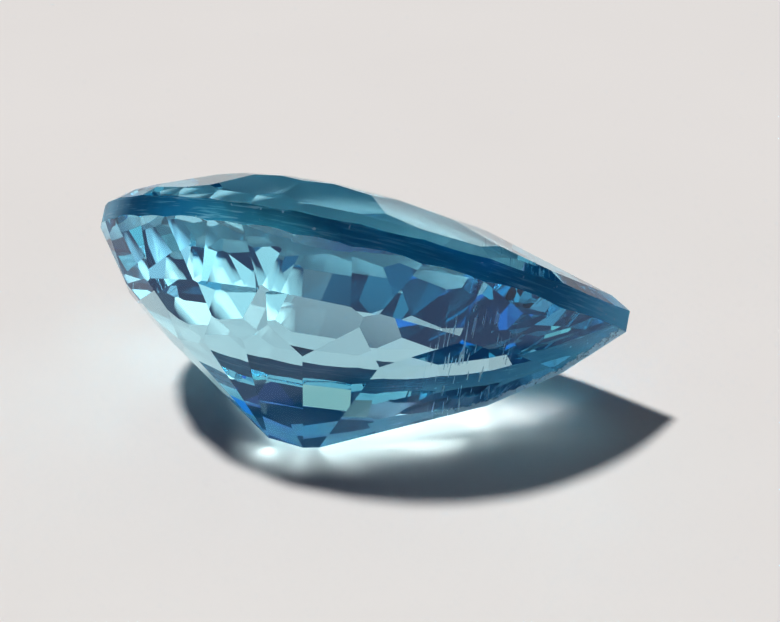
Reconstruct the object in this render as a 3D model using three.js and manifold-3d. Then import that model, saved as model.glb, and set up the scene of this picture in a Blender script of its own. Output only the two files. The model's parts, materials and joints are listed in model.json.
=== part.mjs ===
/**
 * Pear-cut blue topaz gemstone, lying loose on one of its lower facets.
 *
 * The stone is one closed solid, in millimetres. It is cut as a gem cutter cuts it: a pear-shaped slab, the
 * preform, loses everything outside one flat facet after another. A facet is set by the direction it faces
 * in plan (its azimuth) and by two rims of the stone that it passes through, an outer and an inner one.
 *
 * Stone frame: +X from the round head to the point, +Z up through the table, Z = 0 at the girdle's lower
 * edge, and the origin at the widest place. The finished stone is then turned so that one facet beside the
 * culet lies flat on Z = 0, with the stone's length along +X.
 */
import * as THREE from 'three';
import { mergeVertices } from 'three/addons/utils/BufferGeometryUtils.js';
import Module from 'manifold-3d';

// Outline seen from above: a half-ellipse head, and two curved sides that meet at the point.
const LENGTH = 20;
const WIDTH = 12.8;
const HEAD_LENGTH = 7.4;
const SIDE_FULLNESS = 2.1; // power of the side curve: 1 is straight, higher is fuller
const OUTLINE_STEPS = 96;

// Rims, from the table down. Each is the outline drawn in to a share of its size about the culet, at a
// height above the girdle's lower edge.
const TABLE = { share: 0.51, height: 2.79 };
const STAR_INNER = { share: 0.48, height: 2.79 };
const STAR_OUTER = { share: 0.6, height: 2.53 };
const CROWN_BREAK_INNER = { share: 0.834, height: 1.79 };
const CROWN_MAIN_OUTER = { share: 0.937, height: 1.265 };
const STEP_INNER = { share: 0.934, height: 1.265 };
const GIRDLE_TOP = { share: 1, height: 0.8 };
const GIRDLE_MAIN = { share: 0.993, height: 0 };
const GIRDLE_BREAK = { share: 0.99, height: 0 };
const UPPER_BREAK_INNER = { share: 0.84, height: -1.89 };
const UPPER_MAIN_INNER = { share: 0.823, height: -1.94 };
const MIDDLE_INNER = { share: 0.618, height: -3.33 };
const MIDDLE_SWELL = 0.077; // how much further out the main facets' middle rim lies towards the point
const CULET_DEPTH = 6.44;

// The culet is a short keel on the X axis. It lies forward of the widest place.
const CULET_X = 0.8;
const KEEL_TO_HEAD = 0.52;
const KEEL_TO_POINT = 1.39;

// Azimuths of the main facets in degrees, from the middle of the head round to the point, on one side.
// The other side mirrors them, and the break facets face halfway between neighbouring mains.
const MAIN_AZIMUTHS = [180, 157, 130, 107, 86, 65.5, 46];
const BREAK_AZIMUTHS = MAIN_AZIMUTHS.slice(1).map((angle, i) => (angle + MAIN_AZIMUTHS[i]) / 2);
const REST_BREAK = 4; // the stone lies on the culet facet at this break, on the +Y side

const SIDE_LENGTH = LENGTH - HEAD_LENGTH;
const HALF_WIDTH = WIDTH / 2;
const PREFORM_MARGIN = 0.5;

const { degToRad } = THREE.MathUtils;
const wasm = await Module();
wasm.setup();

/** The closed pear outline: the side of +Y from the point to the head, then its mirror image back. */
function pearOutline() {
  const half = OUTLINE_STEPS / 2;
  const upper = [];
  for (let i = 0; i <= half; i += 1) {
    const turn = (Math.PI * i) / half;
    if (turn < Math.PI / 2) {
      const share = Math.cos(turn);
      upper.push(new THREE.Vector2(SIDE_LENGTH * share, HALF_WIDTH * (1 - share ** SIDE_FULLNESS)));
    } else {
      upper.push(new THREE.Vector2(HEAD_LENGTH * Math.cos(turn), HALF_WIDTH * Math.sin(turn)));
    }
  }
  const lower = upper.slice(1, -1).reverse();
  return [...upper, ...lower.map((p) => new THREE.Vector2(p.x, -p.y))];
}

/** Distance from the culet's axis to the tangent of the outline that faces an azimuth (in radians). */
function reach(azimuth) {
  const along = Math.cos(azimuth);
  const across = Math.abs(Math.sin(azimuth));
  if (along <= 0) {
    return Math.hypot(HEAD_LENGTH * along, HALF_WIDTH * across) - CULET_X * along;
  }
  const slope = (SIDE_LENGTH * along) / (HALF_WIDTH * SIDE_FULLNESS * across);
  const share = Math.min(1, slope ** (1 / (SIDE_FULLNESS - 1)));
  const out = SIDE_LENGTH * share * along + HALF_WIDTH * (1 - share ** SIDE_FULLNESS) * across;
  return out - CULET_X * along;
}

/** A point of a facet's profile: how far out from the culet's axis a rim lies at an azimuth, and its height. */
function rimPoint(rim, azimuth) {
  return new THREE.Vector2(rim.share * reach(azimuth), rim.height);
}

/** The same for the keel, whose two ends lie apart on the X axis. */
function keelPoint(azimuth) {
  const along = Math.cos(azimuth);
  const end = along > 0 ? KEEL_TO_POINT : KEEL_TO_HEAD;
  return new THREE.Vector2(end * Math.abs(along), -CULET_DEPTH);
}

/** The plane of a facet, from its azimuth and the outer and inner points of its profile. */
function facetPlane(azimuth, outer, inner) {
  const run = inner.clone().sub(outer);
  const rises = run.y > 0 ? 1 : -1;
  const out = Math.abs(run.y);
  const normal = new THREE.Vector3(out * Math.cos(azimuth), out * Math.sin(azimuth), -run.x * rises);
  const point = new THREE.Vector3(Math.cos(azimuth), Math.sin(azimuth), 0).multiplyScalar(outer.x);
  point.add(new THREE.Vector3(CULET_X, 0, outer.y));
  return new THREE.Plane().setFromNormalAndCoplanarPoint(normal.normalize(), point);
}

/** A facet between two rims at an azimuth. */
function facetBetween(azimuth, outerRim, innerRim) {
  return facetPlane(azimuth, rimPoint(outerRim, azimuth), rimPoint(innerRim, azimuth));
}

/** The middle rim at a main facet: it lies further out on the sides that face the point. */
function middleRim(azimuth) {
  const towardsPoint = Math.max(0, Math.cos(azimuth));
  return { share: MIDDLE_INNER.share + MIDDLE_SWELL * towardsPoint ** 2, height: MIDDLE_INNER.height };
}

/** A facet that runs from the middle rim down to the keel. */
function culetFacet(azimuth) {
  return facetPlane(azimuth, rimPoint(MIDDLE_INNER, azimuth), keelPoint(azimuth));
}

/** Every azimuth of a list on both sides of the stone; one that faces straight along the head comes once. */
function bothSides(degrees) {
  const mirrored = degrees.filter((angle) => angle !== 180).map((angle) => -angle);
  return [...degrees, ...mirrored].map(degToRad);
}

/** All the facets' planes, with normals pointing out of the stone. */
function allFacets() {
  const mains = bothSides(MAIN_AZIMUTHS);
  const breaks = bothSides(BREAK_AZIMUTHS);
  const facets = [new THREE.Plane(new THREE.Vector3(0, 0, 1), -TABLE.height)];
  for (const azimuth of mains) {
    facets.push(facetBetween(azimuth, CROWN_MAIN_OUTER, TABLE));
    facets.push(facetBetween(azimuth, GIRDLE_TOP, STEP_INNER));
    facets.push(facetBetween(azimuth, GIRDLE_MAIN, UPPER_MAIN_INNER));
    facets.push(facetBetween(azimuth, UPPER_MAIN_INNER, middleRim(azimuth)));
  }
  for (const azimuth of breaks) {
    facets.push(facetBetween(azimuth, STAR_OUTER, STAR_INNER));
    facets.push(facetBetween(azimuth, STEP_INNER, CROWN_BREAK_INNER));
    facets.push(facetBetween(azimuth, GIRDLE_TOP, STEP_INNER));
    facets.push(facetBetween(azimuth, GIRDLE_BREAK, UPPER_BREAK_INNER));
    facets.push(culetFacet(azimuth));
  }
  return facets;
}

/** The preform: the pear outline as an upright slab that holds the whole stone, as a manifold solid. */
function preform() {
  const depth = CULET_DEPTH + TABLE.height + 2 * PREFORM_MARGIN;
  const slab = new THREE.ExtrudeGeometry(new THREE.Shape(pearOutline()), { depth, bevelEnabled: false });
  slab.translate(0, 0, -CULET_DEPTH - PREFORM_MARGIN);
  slab.deleteAttribute('normal');
  slab.deleteAttribute('uv');
  const merged = mergeVertices(slab);
  return new wasm.Manifold(new wasm.Mesh({
    numProp: 3,
    vertProperties: new Float32Array(merged.attributes.position.array),
    triVerts: new Uint32Array(merged.index.array),
  }));
}

/** The cut stone as a three.js geometry, flat-shaded, in the stone frame. */
function cutStone() {
  let stone = preform();
  for (const plane of allFacets()) {
    const { normal, constant } = plane;
    stone = stone.trimByPlane([-normal.x, -normal.y, -normal.z], constant);
  }
  const mesh = stone.getMesh();
  const geometry = new THREE.BufferGeometry();
  geometry.setAttribute('position', new THREE.BufferAttribute(new Float32Array(mesh.vertProperties), 3));
  geometry.setIndex(new THREE.BufferAttribute(new Uint32Array(mesh.triVerts), 1));
  geometry.computeVertexNormals();
  return geometry;
}

/** The turn that lays the rest facet face down and brings the stone's length over +X. */
function restTurn() {
  const down = new THREE.Vector3(0, 0, -1);
  const facet = culetFacet(degToRad(BREAK_AZIMUTHS[REST_BREAK]));
  const lay = new THREE.Quaternion().setFromUnitVectors(facet.normal, down);
  const lengthAxis = new THREE.Vector3(1, 0, 0).applyQuaternion(lay);
  const yaw = -Math.atan2(lengthAxis.y, lengthAxis.x);
  return new THREE.Quaternion().setFromAxisAngle(new THREE.Vector3(0, 0, 1), yaw).multiply(lay);
}

function topazGem() {
  const material = new THREE.MeshStandardMaterial({
    name: 'blue_topaz',
    color: 0x3d97ba,
    roughness: 0.05,
    metalness: 0,
    flatShading: true,
  });
  const gem = new THREE.Mesh(cutStone(), material);
  gem.name = 'topaz_gem';
  gem.quaternion.copy(restTurn());
  return gem;
}

/** Moves a group so that the middle of its underside is at the origin. */
function standOnOrigin(group) {
  group.updateMatrixWorld(true);
  const box = new THREE.Box3().setFromObject(group, true);
  const middle = box.getCenter(new THREE.Vector3());
  group.position.set(-middle.x, -middle.y, -box.min.z);
}

const part = new THREE.Group();
const lyingStone = new THREE.Group();
lyingStone.add(topazGem());
standOnOrigin(lyingStone);
part.add(lyingStone);

export default part;
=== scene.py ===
import json
import math

import bmesh
import bpy
import numpy as np
from bpy.props import FloatProperty, FloatVectorProperty, PointerProperty
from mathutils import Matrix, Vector


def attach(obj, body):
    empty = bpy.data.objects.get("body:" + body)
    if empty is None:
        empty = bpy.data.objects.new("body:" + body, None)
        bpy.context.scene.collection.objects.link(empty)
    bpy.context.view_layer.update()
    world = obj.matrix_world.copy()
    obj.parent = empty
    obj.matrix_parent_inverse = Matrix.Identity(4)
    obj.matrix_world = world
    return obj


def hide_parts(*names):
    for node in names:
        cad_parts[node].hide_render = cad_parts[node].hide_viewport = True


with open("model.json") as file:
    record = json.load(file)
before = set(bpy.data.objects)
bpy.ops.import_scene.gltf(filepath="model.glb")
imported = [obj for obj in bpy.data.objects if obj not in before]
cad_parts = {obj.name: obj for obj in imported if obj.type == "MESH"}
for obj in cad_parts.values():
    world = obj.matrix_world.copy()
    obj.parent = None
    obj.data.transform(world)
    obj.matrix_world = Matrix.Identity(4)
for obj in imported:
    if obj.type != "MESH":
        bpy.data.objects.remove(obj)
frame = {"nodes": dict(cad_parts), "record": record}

bl_info = {
    "name": "Pear-cut topaz",
    "version": (1, 0, 0),
    "blender": (4, 5, 0),
    "location": "3D View > Sidebar > Topaz",
    "description": "Finishes a pear-cut blue topaz and lights it on white paper",
    "category": "Object",
}

MM = 0.001
NODE = "topaz_gem"
TABLE_HEIGHT_MM = 2.79  # the table above the girdle's lower edge


def mount(name):
    """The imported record's mount of that name."""
    return next(m for m in frame["record"]["mounts"] if m["name"] == name)


def stone_axes():
    """The stone's own axes in the row frame: along its length, across it, and up through the table.

    The length axis lies over the row's X axis, so it has no Y part and is square to the table's normal."""
    up = np.array(mount("table")["axis"])
    along = np.array([up[2], 0.0, -up[0]])
    along /= np.linalg.norm(along)
    return along, np.cross(up, along), up


ALONG, ACROSS, UP = stone_axes()
TABLE_MIDDLE = np.array(mount("table")["pos_m"])
GIRDLE_MM = float(UP @ TABLE_MIDDLE) / MM - TABLE_HEIGHT_MM
MIDPLANE_MM = float(ACROSS @ TABLE_MIDDLE) / MM

# Where the finish changes, and where the girdle's painted light starts at the head and the point, in
# millimetres along the stone. The round head reaches to about -10.8 and the point to 9.2. Each pair is the
# start and the end of a soft step.
PAINTED_LIGHT_AT_HEAD = (-10.6, -9.4)
PAINTED_LIGHT_AT_POINT = (6.5, 9.0)
POINT_WEAR = (6.5, 8.5)
SCRATCHES_START = (1.8, 2.8)
SCRATCHES_END = (4.4, 5.6)
RIM_START = (1.5, 5.0)

CLEAR = (1.0, 1.0, 1.0, 1.0)
FROST_COLOUR = (0.72, 0.93, 1.0, 1.0)
FROST_ROUGHNESS = 0.5
# The girdle's colours: a painted shade that makes it deep blue, and a painted light that is also the pale
# colour of its grinding streaks.
GIRDLE_PAINTED_SHADE = (0.0, 0.07, 0.18)
GIRDLE_PAINTED_LIGHT_AND_STREAKS = (0.12, 0.85, 1.0)
GIRDLE_REFLECTION = (0.25, 0.6, 0.9)
GRIND_DEPTH = 0.012 * MM
SHARP_ANGLE = math.radians(4.5)  # edges flatter than this don't wear
UPRIGHT_SLOPE = 0.02  # how far a girdle face may lean

# The stone's materials, in the order of its slots.
POLISHED = 0
WORN_EDGE = 1
GROUND_GIRDLE = 2

PAPER_HALF_WIDTH = 2.0
PAPER_DROP = 0.03 * MM  # leaves the facet that lies on the paper just clear of it
PAPER_DARKEST = 0.95  # the darker places of the paper, as a share of its colour


# ---------------------------------------------------------------- settings


class TopazStoneSettings(bpy.types.PropertyGroup):
    """Finish of the stone."""

    ior: FloatProperty(
        name="Refractive index", description="How strongly the crystal bends light",
        default=1.62, min=1.0, max=3.0,
    )
    tint: FloatVectorProperty(
        name="Tint", description="Share of each colour that the crystal lets through",
        subtype="COLOR", size=3, min=0.0, max=1.0, default=(0.0, 0.73, 0.9),
    )
    density: FloatProperty(
        name="Tint density", description="How fast the crystal takes its tint, per metre",
        default=70.0, min=0.0,
    )
    edge_wear: FloatProperty(
        name="Edge wear", description="Width of the worn line along each facet edge",
        default=0.03 * MM, min=0.0, unit="LENGTH",
    )
    girdle_roughness: FloatProperty(
        name="Girdle roughness", description="Roughness of the unpolished girdle",
        default=0.35, min=0.0, max=1.0, subtype="FACTOR",
    )
    scratch_depth: FloatProperty(
        name="Scratch depth", description="Depth of the fine scratches near the point",
        default=0.004 * MM, min=0.0, unit="LENGTH",
    )


class TopazStageSettings(bpy.types.PropertyGroup):
    """Paper, lamp, room and camera."""

    paper: FloatVectorProperty(
        name="Paper", description="Colour of the paper", subtype="COLOR", size=3, min=0.0, max=1.0,
        default=(0.8, 0.775, 0.745),
    )
    lamp_azimuth: FloatProperty(
        name="Lamp azimuth", description="Direction the lamp shines from, round from +X",
        default=math.radians(149.8), subtype="ANGLE",
    )
    lamp_elevation: FloatProperty(
        name="Lamp elevation", description="Height of the lamp above the horizon",
        default=math.radians(60.7), subtype="ANGLE",
    )
    lamp_size: FloatProperty(
        name="Lamp size", description="Angle across the lamp as the stone sees it",
        default=math.radians(6.0), subtype="ANGLE",
    )
    lamp_strength: FloatProperty(
        name="Lamp strength", description="Power of the lamp", default=3.3, min=0.0,
    )
    glow_strength: FloatProperty(
        name="Glow strength", description="Brightness of the glow that lights the paper through the stone",
        default=16.0, min=0.0,
    )
    glow_colour: FloatVectorProperty(
        name="Glow colour", description="Colour of the glow that lights the paper through the stone",
        subtype="COLOR", size=3, min=0.0, max=1.0, default=(1.0, 0.84, 0.79),
    )
    room: FloatVectorProperty(
        name="Room", description="Colour of the dim room", subtype="COLOR", size=3, min=0.0, max=1.0,
        default=(0.1, 0.095, 0.113),
    )
    stone_room: FloatVectorProperty(
        name="Room in the stone", description="Colour of the dim room as the stone shows it",
        subtype="COLOR", size=3, min=0.0, max=1.0, default=(0.005, 0.065, 0.135),
    )
    backdrop: FloatVectorProperty(
        name="Backdrop", description="Plain colour behind the paper's edge", subtype="COLOR", size=3,
        min=0.0, max=1.0, default=(0.76, 0.75, 0.73),
    )
    view_gamma: FloatProperty(
        name="View gamma", description="Under 1 deepens the shadows", default=0.85, min=0.1, max=2.0,
    )
    camera_azimuth: FloatProperty(
        name="Camera azimuth", description="Turn of the camera round the stone from -Y",
        default=math.radians(5.96), subtype="ANGLE",
    )
    camera_elevation: FloatProperty(
        name="Camera elevation", description="How far the camera looks down",
        default=math.radians(28.9), subtype="ANGLE",
    )
    camera_distance: FloatProperty(
        name="Camera distance", description="From the camera to the point it looks at",
        default=112.7 * MM, min=0.0, unit="LENGTH",
    )
    camera_aim: FloatVectorProperty(
        name="Camera aim", description="Point that the camera looks at",
        size=3, subtype="XYZ", unit="LENGTH", default=(0.97 * MM, 0.0, 3.61 * MM),
    )
    camera_lens: FloatProperty(
        name="Lens", description="Focal length in millimetres", default=138.5, min=1.0,
    )


# ---------------------------------------------------------------- shader maths


class Value:
    """A node socket that adds Math nodes to its tree when it is used in an expression."""

    def __init__(self, shade, socket):
        self.shade = shade
        self.socket = socket

    def _maths(self, operation, first, second):
        return self.shade.node("ShaderNodeMath", {"operation": operation}, {0: first, 1: second})[0]

    def __add__(self, other):
        return self._maths("ADD", self, other)

    def __radd__(self, other):
        return self._maths("ADD", other, self)

    def __sub__(self, other):
        return self._maths("SUBTRACT", self, other)

    def __rsub__(self, other):
        return self._maths("SUBTRACT", other, self)

    def __mul__(self, other):
        return self._maths("MULTIPLY", self, other)

    def __rmul__(self, other):
        return self._maths("MULTIPLY", other, self)


class Shade:
    """Adds nodes to one node tree."""

    def __init__(self, tree):
        self.tree = tree
        tree.nodes.clear()

    def node(self, kind, settings=None, inputs=None):
        """Makes a node, sets its settings, then its sockets, and gives its enabled outputs."""
        made = self.tree.nodes.new(kind)
        for name, value in (settings or {}).items():
            setattr(made, name, value)
        for name, value in (inputs or {}).items():
            socket = made.inputs[name]
            if isinstance(value, Value):
                self.tree.links.new(value.socket, socket)
            else:
                socket.default_value = value
        return [Value(self, s) for s in made.outputs if s.enabled]

    def outputs(self, kind):
        """Makes a node and gives its outputs by name."""
        return {value.socket.name: value for value in self.node(kind)}

    def ramp(self, value, low, high):
        """0 where a value is at or under `low`, 1 at or over `high`, and a smooth step between."""
        settings = {"interpolation_type": "SMOOTHSTEP"}
        inputs = {"Value": value, "From Min": low, "From Max": high}
        return self.node("ShaderNodeMapRange", settings, inputs)[0]

    def dot(self, vector, axis):
        """How far a vector goes along a fixed axis."""
        settings = {"operation": "DOT_PRODUCT"}
        return self.node("ShaderNodeVectorMath", settings, {0: vector, 1: tuple(axis)})[0]

    def noise(self, vector, scale, detail, roughness=0.5):
        """Soft noise from 0 to 1."""
        inputs = {"Vector": vector, "Scale": scale, "Detail": detail, "Roughness": roughness}
        return self.node("ShaderNodeTexNoise", {}, inputs)[0]

    def smaller(self, first, second):
        """The smaller of two values."""
        return self.node("ShaderNodeMath", {"operation": "MINIMUM"}, {0: first, 1: second})[0]

    # The Mix node's colour sockets are 6 and 7. Its other sockets have the same names.

    def mix_colours(self, amount, first, second):
        """One fixed colour where an amount is 0 and another where it is 1."""
        colours = {0: amount, 6: (*first, 1.0), 7: (*second, 1.0)}
        return self.node("ShaderNodeMix", {"data_type": "RGBA"}, colours)[0]

    def add_light(self, light, amount, colour):
        """A colour with an amount of another colour added to it."""
        settings = {"data_type": "RGBA", "blend_type": "ADD"}
        return self.node("ShaderNodeMix", settings, {0: amount, 6: light, 7: (*colour, 1.0)})[0]

    def mix_surfaces(self, amount, first, second):
        """One surface where an amount is 0 and another where it is 1."""
        return self.node("ShaderNodeMixShader", {}, {0: amount, 1: first, 2: second})[0]

    def bump(self, height):
        """Small relief: a height in metres that tilts the surface's normal."""
        return self.node("ShaderNodeBump", {}, {"Strength": 1.0, "Distance": 1.0, "Height": height})[0]

    def vector(self, x, y, z):
        """A vector from three numbers or values."""
        return self.node("ShaderNodeCombineXYZ", {}, {"X": x, "Y": y, "Z": z})[0]


def new_material(name):
    """An empty node material and its Shade."""
    material = bpy.data.materials.new(name)
    material.use_nodes = True
    return material, Shade(material.node_tree)


# ---------------------------------------------------------------- the stone


def stone_place(shade):
    """Where a point is, in millimetres along the stone, across from its midplane, and up from its girdle."""
    point = shade.outputs("ShaderNodeTexCoord")["Object"]
    along = shade.dot(point, ALONG / MM)
    across = shade.dot(point, ACROSS / MM) - MIDPLANE_MM
    up = shade.dot(point, UP / MM) - GIRDLE_MM
    return along, across, up


def topaz_surface(shade, settings, colour, roughness, bump=None, reflection=(1.0, 1.0, 1.0)):
    """Clear topaz with a colour, a roughness and perhaps a bump that vary over it, and a reflection tint."""
    inputs = {
        "Base Color": colour,
        "Roughness": roughness,
        "IOR": settings.ior,
        "Specular Tint": (*reflection, 1.0),
        "Transmission Weight": 1.0,
    }
    if bump is not None:
        inputs["Normal"] = bump
    return shade.node("ShaderNodeBsdfPrincipled", {}, inputs)[0]


def frost_surface(shade, settings, clearness):
    """Crushed, frosted crystal: what a chip or a worn edge looks like. It is white where it isn't clear."""
    return shade.node("ShaderNodeBsdfPrincipled", {}, {
        "Base Color": FROST_COLOUR,
        "Roughness": FROST_ROUGHNESS,
        "IOR": settings.ior,
        "Transmission Weight": clearness,
    })[0]


def close_material(shade, settings, surface):
    """Gives a stone material its surface, and the tint that light takes up on its way through the crystal."""
    tint = shade.node("ShaderNodeVolumeAbsorption", {}, {
        "Color": (*settings.tint, 1.0),
        "Density": settings.density,
    })[0]
    shade.node("ShaderNodeOutputMaterial", {}, {"Surface": surface, "Volume": tint})


def topaz_material(settings):
    """Clear blue topaz: polished facets, with fine scratches and a crumbled rim near the point."""
    material, shade = new_material("blue_topaz")
    along, across, up = stone_place(shade)
    lines = shade.noise(shade.vector(along * 16.0, across, up * 0.7), 1.0, 0.0)
    near_point = shade.ramp(along, *SCRATCHES_START) * (1.0 - shade.ramp(along, *SCRATCHES_END))
    well_below_girdle = 1.0 - shade.ramp(up, -0.9, -0.4)
    scratch = shade.ramp(lines, 0.68, 0.71) * near_point * well_below_girdle
    crumbs = shade.noise(shade.vector(along, across, up), 4.0, 2.0, 0.7)
    rim_edge = 1.0 - shade.ramp(across * across + crumbs * 0.3, 0.17, 0.24)
    below_girdle = 1.0 - shade.ramp(up, 0.0, 0.1)
    rim = rim_edge * shade.ramp(along, *RIM_START) * below_girdle
    bump = shade.bump(scratch * -settings.scratch_depth)
    polished = topaz_surface(shade, settings, CLEAR, scratch * 0.3, bump)
    scratched = shade.mix_surfaces(scratch * 0.25, polished, frost_surface(shade, settings, 0.6))
    surface = shade.mix_surfaces(rim * 0.9, scratched, frost_surface(shade, settings, 0.4))
    close_material(shade, settings, surface)
    return material


def girdle_material(settings):
    """The matt girdle: deep blue painted shade, paler painted light at the head, the point and the middle,
    the fine streaks of the grinding wheel and a few small chips.
    """
    material, shade = new_material("ground_topaz_girdle")
    along, across, up = stone_place(shade)
    place = shade.vector(along, across, up)
    grind = shade.noise(shade.vector(along * 0.7, across * 0.7, up * 11.0), 1.0, 3.0, 0.6)
    streaks = shade.ramp(grind, 0.5, 0.68)
    worn = shade.ramp(shade.noise(place, 1.1, 1.0), 0.5, 0.75)
    chips = shade.ramp(shade.noise(place, 4.2, 1.0), 0.72, 0.76)
    # Painted light: the girdle is painted paler at the head and at the point, and frosted more there.
    painted_light_at_ends = 1.0 - shade.ramp(along, *PAINTED_LIGHT_AT_HEAD) + shade.ramp(along, *PAINTED_LIGHT_AT_POINT)
    # Painted light: the girdle is painted paler from -8 to -2 along the stone, and a little less pale past
    # 1.5.
    middle = shade.ramp(along, -8.0, -2.0) * (1.0 - 0.35 * shade.ramp(along, 1.5, 4.0))
    # How far the girdle's colour goes from the painted shade towards the painted light and the streaks' pale
    # colour.
    painted_light_and_streaks = 0.02 + painted_light_at_ends * 0.6 + middle * 0.42 + streaks * 0.25
    colour = shade.mix_colours(painted_light_and_streaks, GIRDLE_PAINTED_SHADE, GIRDLE_PAINTED_LIGHT_AND_STREAKS)
    roughness = settings.girdle_roughness * (0.6 + 0.8 * grind)
    bump = shade.bump(grind * GRIND_DEPTH)
    ground = topaz_surface(shade, settings, colour, roughness, bump, GIRDLE_REFLECTION)
    frosted = chips * 0.8 + streaks * (0.15 + 0.5 * worn) + painted_light_at_ends * 0.35
    surface = shade.mix_surfaces(frosted, ground, frost_surface(shade, settings, 0.75))
    close_material(shade, settings, surface)
    return material


def worn_edge_material(settings):
    """The worn line along a facet's edge: clear crystal, frosted in places."""
    material, shade = new_material("worn_topaz_edge")
    along, across, up = stone_place(shade)
    patches = shade.noise(shade.vector(along, across, up), 1.6, 2.0, 0.6)
    girdle_top = shade.ramp(up, 0.6, 0.75) * (1.0 - shade.ramp(up, 0.85, 1.0))
    anywhere = shade.ramp(patches, 0.5, 0.75) * 0.6
    on_girdle_top = girdle_top * shade.ramp(patches, 0.35, 0.55) * 0.75
    at_point = shade.ramp(along, *POINT_WEAR) * shade.ramp(patches, 0.35, 0.5) * 0.6
    frosted = anywhere + on_girdle_top + at_point
    worn = topaz_surface(shade, settings, CLEAR, 0.05 + 0.2 * patches)
    surface = shade.mix_surfaces(frosted, worn, frost_surface(shade, settings, 0.75))
    close_material(shade, settings, surface)
    return material


def welded_copy(node, name):
    """A copy of a CAD node's mesh with its triangles joined up and its flat facets made whole."""
    mesh = frame["nodes"][node].data.copy()
    mesh.name = name
    shape = bmesh.new()
    shape.from_mesh(mesh)
    bmesh.ops.remove_doubles(shape, verts=shape.verts, dist=0.0005 * MM)
    bmesh.ops.dissolve_limit(shape, angle_limit=math.radians(0.05), verts=shape.verts, edges=shape.edges)
    shape.to_mesh(mesh)
    shape.free()
    mesh.materials.clear()
    piece = bpy.data.objects.new(name, mesh)
    bpy.context.collection.objects.link(piece)
    return piece


def mark_girdle(mesh):
    """Gives the girdle's material to each face that stands square to the table."""
    normals = np.empty(len(mesh.polygons) * 3)
    mesh.polygons.foreach_get("normal", normals)
    upright = np.abs(normals.reshape(-1, 3) @ UP) < UPRIGHT_SLOPE
    slots = np.where(upright, GROUND_GIRDLE, POLISHED)
    mesh.polygons.foreach_set("material_index", slots.astype(np.int32))


class TOPAZ_OT_finish_stone(bpy.types.Operator):
    """Make the polished stone from the CAD solid: worn facet edges, clear facets and a matt girdle"""

    bl_idname = "topaz.finish_stone"
    bl_label = "Finish the stone"

    def execute(self, context):
        settings = context.scene.topaz_stone
        stone = welded_copy(NODE, "topaz_stone")
        mark_girdle(stone.data)
        bevel = stone.modifiers.new("worn_edges", "BEVEL")
        bevel.width = settings.edge_wear
        bevel.segments = 1
        bevel.limit_method = "ANGLE"
        bevel.angle_limit = SHARP_ANGLE
        bevel.material = WORN_EDGE
        for make_material in (topaz_material, worn_edge_material, girdle_material):
            stone.data.materials.append(make_material(settings))
        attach(stone, "root")
        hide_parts(NODE)
        return {"FINISHED"}


# ---------------------------------------------------------------- the stage


def from_angles(azimuth, elevation):
    """Unit vector at an azimuth round from +X and an elevation above the horizon."""
    flat = math.cos(elevation)
    return Vector((flat * math.cos(azimuth), flat * math.sin(azimuth), math.sin(elevation)))


def make_paper(settings):
    """A wide flat sheet of white paper under the stone."""
    half = PAPER_HALF_WIDTH
    low = -PAPER_DROP
    corners = [(-half, -half, low), (half, -half, low), (half, half, low), (-half, half, low)]
    mesh = bpy.data.meshes.new("paper")
    mesh.from_pydata(corners, [], [(0, 1, 2, 3)])
    paper = bpy.data.objects.new("paper", mesh)
    bpy.context.collection.objects.link(paper)
    material, shade = new_material("white_paper")
    mottle = shade.noise(shade.outputs("ShaderNodeTexCoord")["Object"], 60.0, 3.0, 0.6)
    darker = [PAPER_DARKEST * channel for channel in settings.paper]
    surface = shade.node("ShaderNodeBsdfPrincipled", {}, {
        "Base Color": shade.mix_colours(mottle, settings.paper, darker),
        "Roughness": 0.9,
        "Specular IOR Level": 0.0,
    })[0]
    shade.node("ShaderNodeOutputMaterial", {}, {"Surface": surface})
    mesh.materials.append(material)


def make_lamp(settings):
    """One small soft lamp, high on the left behind the stone."""
    light = bpy.data.lights.new("lamp", "SUN")
    light.energy = settings.lamp_strength
    light.angle = settings.lamp_size
    lamp = bpy.data.objects.new("lamp", light)
    toward = from_angles(settings.lamp_azimuth, settings.lamp_elevation)
    lamp.rotation_euler = toward.to_track_quat("Z", "Y").to_euler()
    lamp.visible_transmission = False
    bpy.context.collection.objects.link(lamp)


# Soft cards round the stone: name, azimuth and elevation in degrees, half-width in degrees, and brightness.
CARDS = (
    ("front fill", 312, 40, 21, (2.0, 1.3, 1.05)),
    ("front", 290, 36, 8, (2.0, 1.05, 0.8)),
    ("front to the right", 310, 36, 8, (1.5, 0.75, 0.55)),
    ("right", 342, 35, 14, (1.2, 0.9, 0.85)),
    ("over the left", 250, 50, 7, (0.1, 0.3, 0.35)),
    ("low left", 240, 20, 11, (0.9, 0.45, 0.5)),
    ("behind on the left", 168, 45, 17, (0.35, 0.4, 0.43)),
    ("behind", 63, 28, 11, (0.0, 0.16, 0.2)),
    ("high on the left", 205, 64, 9, (0.0, 0.4, 0.65)),
    ("overhead", 175, 81, 7, (0.7, 0.75, 0.6)),
    ("lamp side", 145, 36, 4, (1.3, 1.1, 1.0)),
    ("far right", 40, 57, 7, (0.05, 0.3, 0.75)),
    ("low front", 268, 20, 6, (0.45, 0.3, 1.1)),
)

# The glow that lights the paper through the stone, as discs: name, azimuth, elevation and half-width in
# degrees, and share of the glow's strength.
GLOWS = (
    ("far side", 94, 50, 8, 3.5),
    ("lamp side", 150, 52, 8, 0.5),
    ("left", 202, 67, 11, 0.85),
    ("overhead", 180, 80, 12, 0.6),
)

DISC_SOFTNESS = 0.4  # how far a disc's soft edge reaches in and out, as a share of its half-width


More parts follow.
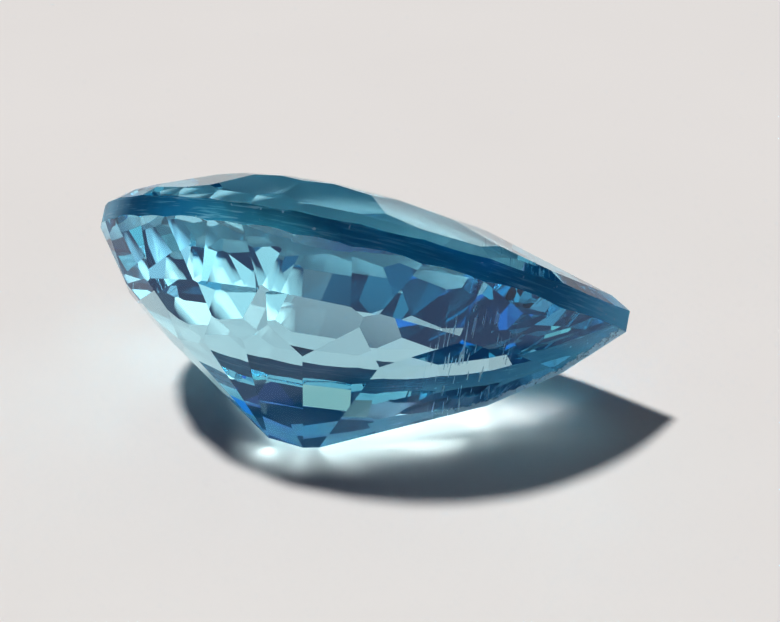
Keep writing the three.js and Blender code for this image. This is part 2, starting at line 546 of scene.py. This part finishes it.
def soft_disc(shade, direction, name, azimuth, elevation, half_width):
    """1 in the middle of a round patch of the room and 0 outside it, with a soft edge (angles in degrees)."""
    inner = math.cos(math.radians(half_width * (1 - DISC_SOFTNESS)))
    outer = math.cos(math.radians(half_width * (1 + DISC_SOFTNESS)))
    middle = from_angles(math.radians(azimuth), math.radians(elevation))
    disc = shade.ramp(shade.dot(direction, middle), outer, inner)
    disc.socket.node.label = name
    return disc


def make_room(settings):
    """A dim room, with soft cards of light that only the stone shows, and a plain pale backdrop.

    Light also reaches the paper through the stone: the glow, seen only by light paths that leave the
    paper and pass through the stone, stands in for the lamp there."""
    world = bpy.data.worlds.new("room")
    world.use_nodes = True
    shade = Shade(world.node_tree)
    direction = shade.outputs("ShaderNodeTexCoord")["Generated"]
    path = shade.outputs("ShaderNodeLightPath")
    from_paper = shade.smaller(path["Diffuse Depth"], 1.0)
    light = shade.mix_colours(path["Is Glossy Ray"], settings.room, settings.stone_room)
    through_stone = path["Is Transmission Ray"]
    for name, azimuth, elevation, half_width, colour in CARDS:
        card = soft_disc(shade, direction, name, azimuth, elevation, half_width)
        light = shade.add_light(light, card * through_stone * (1.0 - from_paper), colour)
    for name, azimuth, elevation, half_width, share in GLOWS:
        glow = soft_disc(shade, direction, name, azimuth, elevation, half_width)
        colour = [share * settings.glow_strength * channel for channel in settings.glow_colour]
        light = shade.add_light(light, glow * through_stone * from_paper, colour)
    room = shade.node("ShaderNodeBackground", {}, {"Color": light})[0]
    plain = shade.node("ShaderNodeBackground", {}, {"Color": (*settings.backdrop, 1.0)})[0]
    sky = shade.mix_surfaces(path["Is Camera Ray"], room, plain)
    shade.node("ShaderNodeOutputWorld", {}, {"Surface": sky})
    bpy.context.scene.world = world


def make_camera(settings):
    """A long lens that looks down on the stone's long side."""
    data = bpy.data.cameras.new("camera")
    data.lens = settings.camera_lens
    data.sensor_width = 36.0
    data.clip_start = 1 * MM
    data.clip_end = 10.0
    camera = bpy.data.objects.new("camera", data)
    back = from_angles(settings.camera_azimuth - math.pi / 2, settings.camera_elevation)
    camera.location = Vector(settings.camera_aim) + back * settings.camera_distance
    camera.rotation_euler = back.to_track_quat("Z", "Y").to_euler()
    bpy.context.collection.objects.link(camera)
    bpy.context.scene.camera = camera


def set_light_paths(scene):
    """Lets light through the stone draw its bright patch on the paper, without single bright specks."""
    paths = scene.cycles
    paths.max_bounces = 16
    paths.transmission_bounces = 16
    paths.glossy_bounces = 12
    paths.caustics_refractive = True
    paths.caustics_reflective = True
    paths.blur_glossy = 0.0
    paths.sample_clamp_indirect = 30.0


class TOPAZ_OT_set_stage(bpy.types.Operator):
    """Lay the paper and set up the lamp, the room and the camera"""

    bl_idname = "topaz.set_stage"
    bl_label = "Set the stage"

    def execute(self, context):
        settings = context.scene.topaz_stage
        make_paper(settings)
        make_lamp(settings)
        make_room(settings)
        make_camera(settings)
        set_light_paths(context.scene)
        context.scene.view_settings.view_transform = "Standard"
        context.scene.view_settings.gamma = settings.view_gamma
        return {"FINISHED"}


class TOPAZ_PT_panel(bpy.types.Panel):
    """Lists the steps and their settings"""

    bl_idname = "TOPAZ_PT_panel"
    bl_label = "Pear-cut topaz"
    bl_space_type = "VIEW_3D"
    bl_region_type = "UI"
    bl_category = "Topaz"

    def draw(self, context):
        for operator, group in ((TOPAZ_OT_finish_stone, context.scene.topaz_stone),
                                (TOPAZ_OT_set_stage, context.scene.topaz_stage)):
            box = self.layout.box()
            box.operator(operator.bl_idname)
            for name in group.__annotations__:
                box.prop(group, name)


CLASSES = (TopazStoneSettings, TopazStageSettings, TOPAZ_OT_finish_stone, TOPAZ_OT_set_stage, TOPAZ_PT_panel)


def register():
    for each in CLASSES:
        bpy.utils.register_class(each)
    bpy.types.Scene.topaz_stone = PointerProperty(type=TopazStoneSettings)
    bpy.types.Scene.topaz_stage = PointerProperty(type=TopazStageSettings)


def unregister():
    del bpy.types.Scene.topaz_stage
    del bpy.types.Scene.topaz_stone
    for each in reversed(CLASSES):
        bpy.utils.unregister_class(each)


def main():
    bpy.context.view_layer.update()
    register()
    bpy.ops.topaz.finish_stone()
    bpy.ops.topaz.set_stage()


if __name__ == "__main__":
    main()
